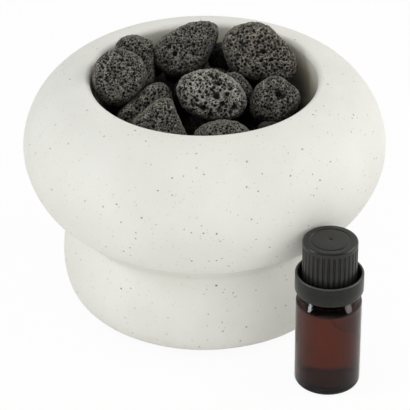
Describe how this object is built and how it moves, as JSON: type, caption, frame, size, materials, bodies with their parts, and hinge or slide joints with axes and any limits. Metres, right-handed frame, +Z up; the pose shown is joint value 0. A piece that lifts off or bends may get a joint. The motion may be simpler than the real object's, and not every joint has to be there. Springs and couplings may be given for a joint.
{
  "type": "essential oil diffuser",
  "caption": "Passive lava-stone oil diffuser: a speckled cast vessel heaped with porous stones, with an amber dropper bottle and its screw cap.",
  "frame": {"origin": "centre of the flat pad under the vessel, on the table", "axes": "+Z up along the vessel's axis, -Y towards the viewer's side, where the bottle stands to the right"},
  "size_m": [0.143, 0.1525, 0.1063],
  "materials": {
    "stoneware": "matte off-white casting with fine dark specks",
    "pad": "closed-cell foam",
    "lava": "rough charcoal lava with open pores",
    "amber_glass": "glossy amber",
    "oil": "clear pale yellow liquid",
    "clear_plastic": "natural translucent",
    "black_plastic": "satin moulded",
    "liner": "foam sheet"
  },
  "bodies": {
    "diffuser": {"vessel": "stoneware", "base_pad": "pad", "lava_stone_01": "lava", "lava_stone_02": "lava", "lava_stone_03": "lava", "lava_stone_04": "lava", "lava_stone_05": "lava", "lava_stone_06": "lava", "lava_stone_07": "lava", "lava_stone_08": "lava", "lava_stone_09": "lava", "lava_stone_10": "lava", "lava_stone_11": "lava", "lava_stone_12": "lava", "lava_stone_13": "lava", "lava_stone_14": "lava", "lava_stone_15": "lava", "lava_stone_16": "lava", "lava_stone_17": "lava", "lava_stone_18": "lava", "lava_stone_19": "lava", "lava_stone_20": "lava", "lava_stone_21": "lava", "lava_stone_22": "lava", "lava_stone_23": "lava", "lava_stone_24": "lava", "lava_stone_25": "lava", "lava_stone_26": "lava"},
    "bottle": {"bottle_glass": "amber_glass", "oil_fill": "oil", "dropper_insert": "clear_plastic", "tamper_ring": "black_plastic"},
    "cap_seal": {"cap_liner": "liner"},
    "cap": {"screw_cap": "black_plastic"}
  },
  "joints": [
    {"name": "bottle_lift", "type": "slide", "parent": "diffuser", "child": "bottle", "axis": [0.398, -0.5845, 0.7071], "range_m": [0, 0.12]},
    {"name": "cap_rise", "type": "slide", "parent": "bottle", "child": "cap_seal", "axis": [0, 0, 1], "range_m": [0, 0.0045]},
    {"name": "cap_turn", "type": "hinge", "parent": "cap_seal", "child": "cap", "pos_m": [0.04643, -0.06819, 0.06], "axis": [0, 0, 1], "range_deg": [0, 540]}
  ],
  "couplings": [
    {"joint": "cap_rise", "follows": "cap_turn", "m_per_rad": 0.000477}
  ]
}
